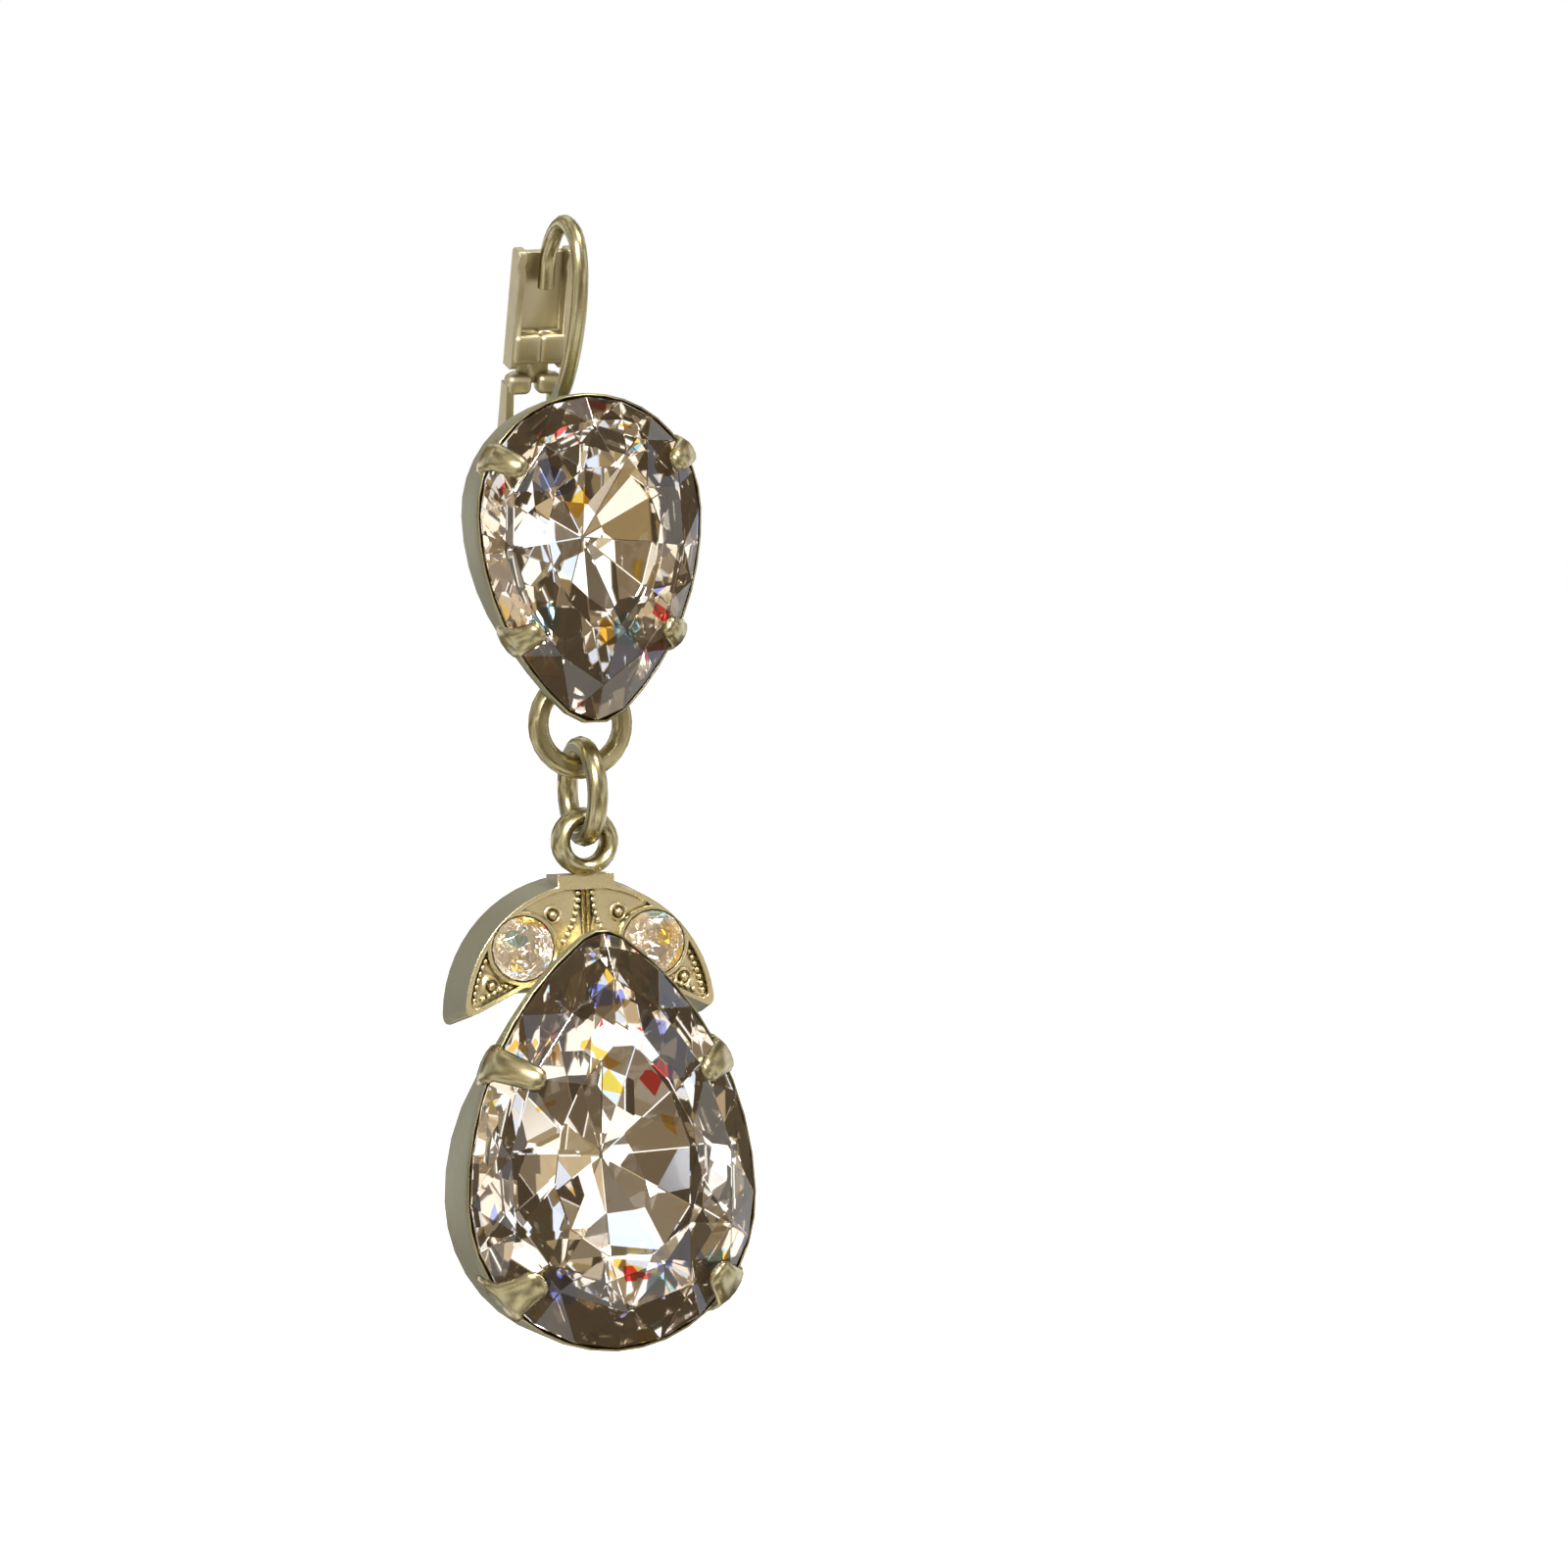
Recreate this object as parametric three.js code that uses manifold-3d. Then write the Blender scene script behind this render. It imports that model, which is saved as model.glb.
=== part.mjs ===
// A drop earring on a lever-back ear wire: a pear stone in a pronged cup, a round link,
// and a larger pear stone whose cup is soldered to a cast half-moon with two small stones.
// Millimetres, +Z up, the front looks along -Y. The origin is where the ear wire hangs:
// inside the top of its arch.
import * as THREE from "three";
import { ConvexGeometry } from "three/addons/geometries/ConvexGeometry.js";
import { LoftGeometry } from "three/addons/geometries/LoftGeometry.js";
import { RoundedBoxGeometry } from "three/addons/geometries/RoundedBoxGeometry.js";
import { mergeVertices } from "three/addons/utils/BufferGeometryUtils.js";
import Module from "manifold-3d";

const wasm = await Module();
wasm.setup();

// Stones: outline, tip rounding, height above the girdle, depth below it, girdle thickness
const UPPER = { width: 10, length: 14, tip: 1.8, rise: 1.6, depth: 2.7, girdle: 0.16 };
const LOWER = { width: 13, length: 18, tip: 1.4, rise: 2.1, depth: 3.45, girdle: 0.2 };
const SIDE_STONE = { width: 2.8, rise: 0.55, depth: 1.15, girdle: 0.08 };
const TABLE_SHARE = 0.52; // of the outline
const BREAK_SHARE = 0.8; // outline of the step between table and girdle
const BREAK_RISE = 0.62; // of the height above the girdle
const PAVILION_SHARE = 0.6; // outline of the step below the girdle
const PAVILION_DEPTH = 0.56; // of the depth below the girdle
const STONE_CLEARANCE = 0.07; // round each stone in its seat

// Cups
const CUP_WALL = 0.35;
const CUP_LIP = 0.16; // the wall's outside beyond the stone's edge
const CUP_STRAIGHT = 0.6; // depth of the upright part of the wall, with the stone's bearing
const CUP_EDGE = 0.05; // rounding of the rim's outer edge
// taper: how much narrower the back is all round, shorten: how far its tip draws back
const UPPER_CUP = { depth: 3.2, taper: 0.35, shorten: 0.8 };
const LOWER_CUP = { depth: 4.0, taper: 0.3, shorten: 2.6 };

// Prongs: place along the outline (from the round end's centre towards the tip), width at
// the foot and at the end, reach over the stone and how far down the wall the foot starts
const PRONG_THICKNESS = 0.6;
const PRONG_BULGE = 0.3; // how far a prong stands out of the wall
const UPPER_PRONGS = [
  { place: -2.5, foot: 1.5, end: 1.1, reach: 1.05, down: 2.4 },
  { place: 5.4, foot: 1.6, end: 1.1, reach: 0.9, down: 2.4 },
];
const LOWER_PRONGS = [
  { place: -4.1, foot: 2.6, end: 1.5, reach: 1.35, down: 3.0 },
  { place: 6.0, foot: 2.0, end: 1.25, reach: 1.6, down: 2.6 },
];

// Heights and depths
const STONE_TOP = -7.15; // round end of the upper stone
const UPPER_RING = { outer: 4.8, wire: 0.94 };
const RING_BEHIND = 2.2; // behind the upper girdle, also the plane of the whole drop
const RING_BELOW_TIP = 0.2; // ring's centre below the stone's tip
const LINK = { outer: 4.83, wire: 0.9 };
const LOOP = { outer: 3.0, hole: 1.43, depth: 1.4 };
const LOOP_BEHIND = 2.0; // behind the lower girdle
const HANG_CLEARANCE = 0.05; // between links that hang in each other
const OVERLAP = 0.05; // of neighbours that are joined

// Half-moon casting
const LOOP_SUNK = 0.1; // into the collar
const MOON_RADIUS = 5.75;
const MOON_THICKNESS = 2.2;
const MOON_DRAFT = 0.3; // the back is this much larger all round
const MOON_BEHIND = 1.95; // its face behind the lower girdle
const MOON_TOP_ABOVE_TIP = 2.15; // above the lower stone's tip
const MOON_SLOPE = THREE.MathUtils.degToRad(25); // of its lower edges
const MOON_SHOULDER = 3.0; // half width of the level part of the lower edge
const MOON_CORNER = 0.11; // rounding of its lower corners, as a share of the radius
const MOON_RIM = 0.22;
const FIELD_DEPTH = 0.28; // of the ground of the relief
const LEDGE_WIDTH = 0.4; // smooth band that follows the cup
const COLLAR = { width: 2.6, height: 0.38, depth: 1.5, sunk: 0.3 };
const SEAT_RADIUS = 4.25; // side stones' centres, from the moon's centre
const SEAT_ANGLE = THREE.MathUtils.degToRad(45);
const SEAT_WALL = 0.17;
const SEAT_CLEARANCE = 0.05; // round a side stone, and behind it three times that
const CUT_AHEAD = 1; // how far a cut starts in front of what it cuts
const CUT_BEHIND = 0.2; // how far a raised part reaches below the ground

// Relief
const BEAD = 0.27; // diameter
const BEAD_RAISED = 0.2; // share of its size that its centre stands over the ground
const BEAD_PITCH = 0.3;
const CENTRE_ROW = { top: 0.45, gap: 0.64, spread: THREE.MathUtils.degToRad(22), beads: 8 };
const CENTRE_GROOVE = 0.2;
const EDGE_ROW = { inset: 0.42, from: THREE.MathUtils.degToRad(9), beads: 8 };
const FOOT_ROW = { inset: 0.42, start: 1.0, beads: 6 };
const BOSS = { outer: 0.88, ring: 0.18, knob: 0.4 };
const BOSS_RADIUS = 4.65;
const BOSS_ANGLES = [19, 72].map(THREE.MathUtils.degToRad); // from straight up

// Ear wire and its base behind the upper cup
const EAR_WIRE = 0.75;
const ARCH_FRONT = -2.0; // centre of the wire at its foremost
const ARCH_BACK = 2.5; // centre of the wire at its end
const BASE = { width: 1.65, top: -8.45, bottom: -10.1, behindPin: 0.62 };
const EAR_WIRE_ROUTE = [
  { depth: 0.95, height: 0.0 },
  { depth: 0.68, height: 0.11 },
  { depth: 0.1, height: 0.25 },
  { depth: -0.45, height: 0.41 },
  { depth: -0.9, height: 0.62 },
  { depth: -1.03, height: 0.8 },
  { depth: -0.82, height: 0.93 },
  { depth: -0.15, height: 1.0 },
  { depth: 0.42, height: 0.95 },
  { depth: 0.82, height: 0.84 },
  { depth: 1.0, height: 0.69 },
]; // depth: share of the way from 0 to the arch's back or front, height: from base to top

// Lever, closed: its heights are heights of the hanging earring
const LEVER = { width: 2.6, sheet: 0.35, top: -0.95, bottom: -5.85, ear: 0.2, wing: 1.05 };
const LEVER_LEAN = THREE.MathUtils.degToRad(20); // its top leans to the front
const LEVER_CLEARANCE = 0.3; // behind the wire's end
const NOTCH = { top: -1.4, bottom: -1.7, depth: 0.22 }; // in its back edges below the ears
const LOBES = { top: -4.3, bottom: -5.6, front: 0.85, rounding: 0.3 }; // of the band across it
const PAD_INSET = 0.03; // of the band and the shoulders from the lever's sides
const NECK = { width: 1.35, bottom: -6.2 };
const YOKE_OPENING = { top: -6.65, width: 1.7 };
const SHOULDER = { width: 1.15, height: 0.85, front: 0.5, rounding: 0.3 }; // over the legs
const PIN = 0.6; // diameter
const PIN_CLEARANCE = 0.06;
const PIN_Z = -9.4;

// Materials
const gold = new THREE.MeshStandardMaterial({ color: 0xb9ad84, roughness: 0.32, metalness: 1 });
const leverGold = gold.clone();
const linkGold = gold.clone();
const pinGold = gold.clone();
const crystal = new THREE.MeshStandardMaterial({ color: 0xcdbba6, roughness: 0.03, metalness: 0.1 });

// Places that follow from the sizes
const planeY = 0; // ring, link and loop hang below the arch
const upperGirdle = new THREE.Vector3(0, planeY - RING_BEHIND, STONE_TOP - UPPER.width / 2);
const upperTip = STONE_TOP - UPPER.length;
const ringRadius = (UPPER_RING.outer - UPPER_RING.wire) / 2;
const ringZ = upperTip - RING_BELOW_TIP;
const linkRadius = (LINK.outer - LINK.wire) / 2;
const linkTop = ringZ - ringRadius + (UPPER_RING.wire + LINK.wire) / 2 + HANG_CLEARANCE;
const linkZ = linkTop - linkRadius;
const loopHoleTop = linkZ - linkRadius + LINK.wire / 2 + HANG_CLEARANCE;
const loopZ = loopHoleTop - LOOP.hole / 2;
const moonTop = loopZ - LOOP.outer / 2 - COLLAR.height + LOOP_SUNK;
const moonZ = moonTop - MOON_RADIUS;
const lowerTip = moonTop - MOON_TOP_ABOVE_TIP;
const lowerGirdle = new THREE.Vector3(0, planeY - LOOP_BEHIND, lowerTip - LOWER.length + LOWER.width / 2);
const moonFace = lowerGirdle.y + MOON_BEHIND;
const moonField = moonFace + FIELD_DEPTH;
const moonBack = moonFace + MOON_THICKNESS;
const seatX = SEAT_RADIUS * Math.sin(SEAT_ANGLE);
const seatZ = moonZ + SEAT_RADIUS * Math.cos(SEAT_ANGLE);
const seatBore = SIDE_STONE.width / 2 + SEAT_CLEARANCE;
const seatBack = moonFace + SIDE_STONE.depth + 3 * SEAT_CLEARANCE;
const leverFloor = ARCH_BACK + EAR_WIRE / 2 + LEVER_CLEARANCE; // inner face of its floor
const leverBack = leverFloor + LEVER.sheet;
const leverFront = leverBack - LEVER.wing;
const legRound = LEVER.wing * 0.57; // radius of the legs' ends
const pinDrawnY = leverBack - legRound; // before the lever leans
const wireEnd = BASE.top + (EAR_WIRE / 2 - BASE.top) * EAR_WIRE_ROUTE.at(-1).height;
const pinY = pinDrawnY + (wireEnd - PIN_Z) * Math.tan(LEVER_LEAN);

// Points along an arc in the XZ plane, the last one left to the arc that follows
function arc(x, z, radius, from, to, steps) {
  return Array.from({ length: steps }, (_, i) => {
    const angle = from + ((to - from) * i) / steps;
    return new THREE.Vector2(x + radius * Math.cos(angle), z + radius * Math.sin(angle));
  });
}

// A pear is a circle, two long flank arcs tangent to it and a rounded tip.
function pearArcs(stone) {
  const radius = stone.width / 2;
  const tipZ = stone.length - radius - stone.tip;
  const flank = (radius ** 2 + tipZ ** 2 - stone.tip ** 2) / (2 * (radius - stone.tip));
  return { radius, flank, flankX: flank - radius };
}

// The outline grown by offset, tip towards +Z, round end centred on the origin
function pearOutline(stone, offset, counts, phase = 0) {
  const { radius, flank, flankX } = pearArcs(stone);
  const tip = Math.max(stone.tip + offset, 0.15);
  const tipZ = Math.sqrt((flank + offset - tip) ** 2 - flankX ** 2);
  const turn = Math.atan2(tipZ, flankX);
  const shift = (from, to, steps) => ((to - from) * phase) / steps;
  const piece = (x, z, r, from, to, steps) => {
    const by = shift(from, to, steps);
    return arc(x, z, r, from + by, to + by, steps);
  };
  return [
    ...piece(-flankX, 0, flank + offset, 0, turn, counts.flank),
    ...piece(0, tipZ, tip, turn, Math.PI - turn, counts.tip),
    ...piece(flankX, 0, flank + offset, Math.PI - turn, Math.PI, counts.flank),
    ...piece(0, 0, radius + offset, Math.PI, 2 * Math.PI, counts.round),
  ];
}

// A place on the outline at a height above the round end's centre, with its outward normal
function pearEdge(stone, height) {
  const { radius, flank, flankX } = pearArcs(stone);
  const reach = height > 0 ? flank : radius;
  const centre = height > 0 ? -flankX : 0;
  const run = Math.sqrt(reach ** 2 - height ** 2);
  return {
    point: new THREE.Vector2(centre + run, height),
    normal: new THREE.Vector2(run / reach, height / reach),
  };
}

const CUP_COUNTS = { flank: 8, tip: 3, round: 18 };
const GIRDLE_COUNTS = { flank: 6, tip: 2, round: 10 };
const FACET_COUNTS = { flank: 3, tip: 1, round: 5 };

// A ring of 3-D points at one depth
const ring = (points, y) => points.map((p) => new THREE.Vector3(p.x, y, p.y));

// A closed body through rings that each wind about the way to the next
const loftBody = (sections) => new LoftGeometry(sections, { capStart: true, capEnd: true });

// A closed body through outlines listed from front to back, counterclockwise from the front
const loftBack = (sections) => loftBody([...sections].reverse());

// A geometry as a solid for joining and cutting
function solid(geometry) {
  const bare = new THREE.BufferGeometry();
  bare.setAttribute("position", geometry.getAttribute("position"));
  bare.setIndex(geometry.getIndex());
  const merged = mergeVertices(bare, 1e-4);
  return new wasm.Manifold(
    new wasm.Mesh({
      numProp: 3,
      vertProperties: merged.attributes.position.array,
      triVerts: new Uint32Array(merged.index.array),
    }),
  );
}

// The solid's triangles as a geometry
function geometryOf(body) {
  const mesh = body.getMesh();
  const geometry = new THREE.BufferGeometry();
  geometry.setAttribute("position", new THREE.BufferAttribute(new Float32Array(mesh.vertProperties), 3));
  geometry.setIndex(new THREE.BufferAttribute(new Uint32Array(mesh.triVerts), 1));
  return geometry;
}

const joined = (geometries) => geometries.map(solid).reduce((sum, next) => sum.add(next));

// Faceted pear stone: a flat table, a step, the girdle, a lower step and a point at the back
function pearStone(stone) {
  const middle = new THREE.Vector2(0, (stone.length - stone.width) / 2 - stone.tip / 2);
  const at = (share, y, counts, phase) => {
    const outline = pearOutline(stone, 0, counts, phase);
    return ring(outline.map((p) => p.sub(middle).multiplyScalar(share).add(middle)), y);
  };
  const front = -stone.girdle / 2;
  const back = stone.girdle / 2;
  const points = [
    ...at(TABLE_SHARE, front - stone.rise, FACET_COUNTS, 0),
    ...at(BREAK_SHARE, front - stone.rise * BREAK_RISE, FACET_COUNTS, 0.5),
    ...at(1, front, GIRDLE_COUNTS, 0),
    ...at(1, back, GIRDLE_COUNTS, 0),
    ...at(PAVILION_SHARE, back + stone.depth * PAVILION_DEPTH, FACET_COUNTS, 0.5),
    new THREE.Vector3(middle.x, back + stone.depth, middle.y),
  ];
  return new ConvexGeometry(points);
}

// Faceted round stone with an eight-sided table
function roundStone(stone) {
  const front = -stone.girdle / 2;
  const back = stone.girdle / 2;
  const at = (share, y, sides, phase) => {
    const step = (2 * Math.PI) / sides;
    return ring(arc(0, 0, (stone.width / 2) * share, phase * step, 2 * Math.PI + phase * step, sides), y);
  };
  return new ConvexGeometry([
    ...at(TABLE_SHARE + 0.05, front - stone.rise, 8, 0),
    ...at(BREAK_SHARE, front - stone.rise * BREAK_RISE, 8, 0.5),
    ...at(1, front, 16, 0),
    ...at(1, back, 16, 0),
    ...at(PAVILION_SHARE, back + stone.depth * PAVILION_DEPTH, 8, 0.5),
    new THREE.Vector3(0, back + stone.depth, 0),
  ]);
}

// How far a cup has narrowed at a depth behind the girdle, from 0 to 1
const narrowed = (cup, depth) => Math.max(0, depth - CUP_STRAIGHT) / (cup.depth - CUP_STRAIGHT);

// Offset of a cup's outer wall there
const cupOffset = (cup, depth) => CUP_LIP - cup.taper * narrowed(cup, depth);

// A ring of a cup's outline, whose tip draws back with depth
function cupRing(stone, cup, depth, grow) {
  const length = stone.length - cup.shorten * narrowed(cup, depth);
  return ring(pearOutline({ ...stone, length }, grow, CUP_COUNTS), depth);
}

// The cup's outside, closed at the back
function cupBody(stone, cup) {
  const rounding = CUP_WALL / 2;
  const rings = [
    { depth: 0, grow: CUP_LIP - CUP_EDGE },
    { depth: CUP_EDGE, grow: CUP_LIP },
    { depth: CUP_STRAIGHT, grow: CUP_LIP },
    { depth: cup.depth - rounding, grow: cupOffset(cup, cup.depth - rounding) },
    { depth: cup.depth, grow: cupOffset(cup, cup.depth) - rounding },
  ];
  return loftBack(rings.map(({ depth, grow }) => cupRing(stone, cup, depth, grow)));
}

// The hollow that holds the stone: it widens to a bearing under the girdle
function cupHollow(stone, cup) {
  const floor = cup.depth - CUP_WALL;
  const bearing = stone.girdle / 2 + STONE_CLEARANCE / 2;
  const rings = [
    { depth: -CUP_WALL, grow: STONE_CLEARANCE },
    { depth: bearing, grow: STONE_CLEARANCE },
    { depth: Math.max(CUP_STRAIGHT, bearing * 2), grow: CUP_LIP - CUP_WALL },
    { depth: floor, grow: cupOffset(cup, floor) - CUP_WALL },
  ];
  return loftBack(rings.map(({ depth, grow }) => cupRing(stone, cup, depth, grow)));
}

// A prong: a tab that stands out of the wall, bends over the girdle and ends on the crown
function prong(stone, cup, spec, side) {
  const { point, normal } = pearEdge(stone, spec.place);
  const along = new THREE.Vector2(-normal.y, normal.x);
  const slope = (stone.rise * BREAK_RISE) / ((1 - BREAK_SHARE) * (stone.width / 2));
  const half = PRONG_THICKNESS / 2;
  const wall = CUP_LIP + PRONG_BULGE - half;
  const lift = half * 1.1 + STONE_CLEARANCE;
  const above = (inset) => -stone.girdle / 2 - slope * inset - lift * 1.3;
  const grown = (share) => spec.foot + (spec.end - spec.foot) * share;
  const route = [
    { out: cupOffset(cup, spec.down) - half * 1.3, y: spec.down, width: spec.foot * 0.85, thick: 0.5 },
    { out: cupOffset(cup, spec.down / 2) - half * 0.5, y: spec.down / 2, width: grown(0), thick: 1 },
    { out: wall, y: CUP_STRAIGHT * 0.5, width: grown(0.15), thick: 1 },
    { out: wall - half * 0.3, y: -half, width: grown(0.4), thick: 1 },
    { out: half * 0.1, y: above(0), width: grown(0.7), thick: 1.05 },
    { out: -spec.reach * 0.5, y: above(spec.reach * 0.5), width: grown(1), thick: 1.15 },
    { out: -spec.reach * 0.78, y: above(spec.reach * 0.78), width: grown(1) * 0.92, thick: 1.1 },
    { out: -spec.reach * 0.94, y: above(spec.reach * 0.94), width: grown(1) * 0.68, thick: 0.8 },
    { out: -spec.reach, y: above(spec.reach), width: grown(1) * 0.35, thick: 0.4 },
  ];
  const sections = route.map((stop, i) => {
    const before = route[Math.max(i - 1, 0)];
    const after = route[Math.min(i + 1, route.length - 1)];
    const way = new THREE.Vector2(after.out - before.out, after.y - before.y).normalize();
    const across = new THREE.Vector2(-way.y, way.x).multiplyScalar(half * stop.thick);
    const sides = 12;
    return Array.from({ length: sides }, (_, k) => {
      const angle = (2 * Math.PI * k) / sides;
      const flat = Math.cos(angle) * (stop.width / 2);
      const out = stop.out + across.x * Math.sin(angle);
      const y = stop.y + across.y * Math.sin(angle);
      const x = point.x + normal.x * out + along.x * flat;
      const z = point.y + normal.y * out + along.y * flat;
      return new THREE.Vector3(x * side, y, z);
    });
  });
  if (side > 0) sections.forEach((section) => section.reverse());
  return loftBody(sections);
}

const allProngs = (stone, cup, specs) =>
  specs.flatMap((spec) => [-1, 1].map((side) => prong(stone, cup, spec, side)));

// Round wire bent into a closed ring, its axis along Y
function wireRing({ outer, wire }) {
  return new THREE.TorusGeometry((outer - wire) / 2, wire / 2, 10, 28).rotateX(Math.PI / 2);
}

// Cast loop with a rounded front and back
function castLoop() {
  const band = (LOOP.outer - LOOP.hole) / 4;
  const middle = (LOOP.outer + LOOP.hole) / 4;
  const profile = arc(middle, 0, 1, 0, 2 * Math.PI, 12).map(
    (p) => new THREE.Vector2(middle + (p.x - middle) * band, (p.y * LOOP.depth) / 2),
  );
  profile.push(profile[0].clone());
  return new THREE.LatheGeometry(profile, 26);
}

// Half-moon outline round its own centre: an arc and two sloping feet joined by a level part
function moonOutline(radius, lift) {
  const slope = Math.tan(MOON_SLOPE);
  const foot = lift + (MOON_RADIUS - radius) * slope;
  const start = Math.asin(foot / radius);
  const level = lift + (MOON_RADIUS - MOON_SHOULDER) * slope;
  const end = new THREE.Vector2(radius * Math.cos(start), foot);
  const inward = new THREE.Vector2(-1, slope).setLength(radius * MOON_CORNER).add(end);
  const begin = start + MOON_CORNER;
  const upward = new THREE.Vector2(radius * Math.cos(begin), radius * Math.sin(begin));
  const bend = new THREE.QuadraticBezierCurve(inward, end, upward).getPoints(4);
  return [
    ...bend.slice(0, -1),
    ...arc(0, 0, radius, begin, Math.PI - begin, 28),
    ...bend.reverse().map((p) => new THREE.Vector2(-p.x, p.y)),
    new THREE.Vector2(-MOON_SHOULDER, level),
    new THREE.Vector2(MOON_SHOULDER, level),
  ];
}

// A plate of the half-moon's outline between two depths
function moonPlate(radius, lift, front, back, draft = 0) {
  const place = (points, y) => ring(points, y).map((p) => p.setZ(p.z + moonZ));
  return loftBack([
    place(moonOutline(radius, lift), front),
    place(moonOutline(radius + draft, lift - draft), back),
  ]);
}

// A bead of the relief, half sunk in the ground
function bead(x, z, size = BEAD) {
  const ball = new THREE.SphereGeometry(size / 2, 8, 6).rotateX(Math.PI / 2);
  return ball.translate(x, moonField - size * BEAD_RAISED, z);
}

// The double row of beads below the collar, parting downwards
function centreBeads() {
  return [-1, 1].flatMap((side) =>
    Array.from({ length: CENTRE_ROW.beads }, (_, i) => {
      const run = i * BEAD_PITCH;
      const x = CENTRE_ROW.gap / 2 + run * Math.sin(CENTRE_ROW.spread) * (i / CENTRE_ROW.beads);
      return bead(side * x, moonTop - CENTRE_ROW.top - run);
    }),
  );
}

// Beads along the arc near both ends
function edgeBeads() {
  const radius = MOON_RADIUS - EDGE_ROW.inset;
  return [-1, 1].flatMap((side) =>
    Array.from({ length: EDGE_ROW.beads }, (_, i) => {
      const angle = EDGE_ROW.from + (i * BEAD_PITCH) / radius;
      return bead(side * radius * Math.cos(angle), moonZ + radius * Math.sin(angle));
    }),
  );
}

// Beads along the sloping feet
function footBeads() {
  return [-1, 1].flatMap((side) =>
    Array.from({ length: FOOT_ROW.beads }, (_, i) => {
      const run = FOOT_ROW.start + i * BEAD_PITCH;
      const x = MOON_RADIUS - run * Math.cos(MOON_SLOPE);
      const z = run * Math.sin(MOON_SLOPE) + FOOT_ROW.inset / Math.cos(MOON_SLOPE);
      return bead(side * x, moonZ + z);
    }),
  );
}

// Bosses: a ring with a knob in it
function bosses() {
  return BOSS_ANGLES.flatMap((angle) =>
    [-1, 1].flatMap((side) => {
      const x = side * BOSS_RADIUS * Math.sin(angle);
      const z = moonZ + BOSS_RADIUS * Math.cos(angle);
      const rim = new THREE.TorusGeometry((BOSS.outer - BOSS.ring) / 2, BOSS.ring / 2, 6, 16);
      return [rim.rotateX(Math.PI / 2).translate(x, moonField, z), bead(x, z, BOSS.knob)];
    }),
  );
}

// A cylinder along Y between two depths
function post(x, z, radius, front, back, sides) {
  const body = new THREE.CylinderGeometry(radius, radius, back - front, sides);
  return body.translate(x, (front + back) / 2, z);
}

// The casting without its cup: rim, ground, ledge, seat walls, beads and bosses
function halfMoon() {
  const body = solid(moonPlate(MOON_RADIUS, 0, moonFace, moonBack, MOON_DRAFT));
  const inside = MOON_RADIUS - MOON_RIM;
  const ground = solid(moonPlate(inside, MOON_RIM, moonFace - CUT_AHEAD, moonField));
  const ledgeGrow = cupOffset(LOWER_CUP, MOON_BEHIND) + LEDGE_WIDTH;
  const ledge = cupRing(LOWER, LOWER_CUP, MOON_BEHIND, ledgeGrow);
  const ledgeAt = (y) => ledge.map((p) => new THREE.Vector3(p.x, y, p.z + lowerGirdle.z));
  const band = loftBack([ledgeAt(moonFace), ledgeAt(moonField + CUT_BEHIND)]);
  const walls = [-1, 1].map((side) =>
    post(side * seatX, seatZ, seatBore + SEAT_WALL, moonFace, moonField + CUT_BEHIND, 28),
  );
  const raised = joined([band, ...walls]).intersect(
    solid(moonPlate(MOON_RADIUS, 0, moonFace, moonField + CUT_BEHIND)),
  );
  const rib = new THREE.BoxGeometry(CENTRE_ROW.gap - BEAD, FIELD_DEPTH, MOON_TOP_ABOVE_TIP);
  rib.translate(0, moonField, moonTop - MOON_TOP_ABOVE_TIP / 2 - MOON_RIM / 2);
  const groove = new THREE.BoxGeometry(CENTRE_GROOVE / 2, FIELD_DEPTH, MOON_TOP_ABOVE_TIP * 2);
  groove.translate(0, moonField - FIELD_DEPTH * 0.75, moonTop - MOON_TOP_ABOVE_TIP);
  const beads = [...centreBeads(), ...edgeBeads(), ...footBeads(), ...bosses()];
  return body
    .subtract(ground)
    .add(solid(rib).subtract(solid(groove)))
    .add(joined(beads))
    .add(raised);
}

// Everything soldered together in the drop: cup, prongs, half-moon, collar and loop
function dropSetting() {
  const toGirdle = (geometry) => geometry.translate(0, lowerGirdle.y, lowerGirdle.z);
  const collar = new THREE.BoxGeometry(COLLAR.width, COLLAR.depth, COLLAR.height + COLLAR.sunk);
  collar.translate(0, moonFace + COLLAR.depth / 2, moonTop + (COLLAR.height - COLLAR.sunk) / 2);
  const loop = castLoop().translate(0, planeY, loopZ);
  const seats = [-1, 1].map((side) =>
    post(side * seatX, seatZ, seatBore, moonFace - CUT_AHEAD, seatBack, 28),
  );
  const prongs = allProngs(LOWER, LOWER_CUP, LOWER_PRONGS).map(toGirdle);
  return halfMoon()
    .add(solid(toGirdle(cupBody(LOWER, LOWER_CUP))))
    .add(joined([collar]))
    .add(joined([loop]))
    .subtract(joined(seats))
    .add(joined(prongs).subtract(solid(toGirdle(cupHollow(LOWER, LOWER_CUP)))))
    .subtract(solid(toGirdle(cupHollow(LOWER, LOWER_CUP))));
}

// The ear wire, from inside the base over the arch to its end in the lever
function earWire() {
  const top = EAR_WIRE / 2;
  const points = EAR_WIRE_ROUTE.map(({ depth, height }) => {
    const y = depth < 0 ? -depth * ARCH_FRONT : depth * ARCH_BACK;
    return new THREE.Vector3(0, y, BASE.top + (top - BASE.top) * height - (1 - height) * 0.2);
  });
  const section = new THREE.Shape().absarc(0, 0, EAR_WIRE / 2, 0, 2 * Math.PI);
  const route = new THREE.CatmullRomCurve3(points);
  return new THREE.ExtrudeGeometry(section, { steps: 40, curveSegments: 5, extrudePath: route });
}

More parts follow.
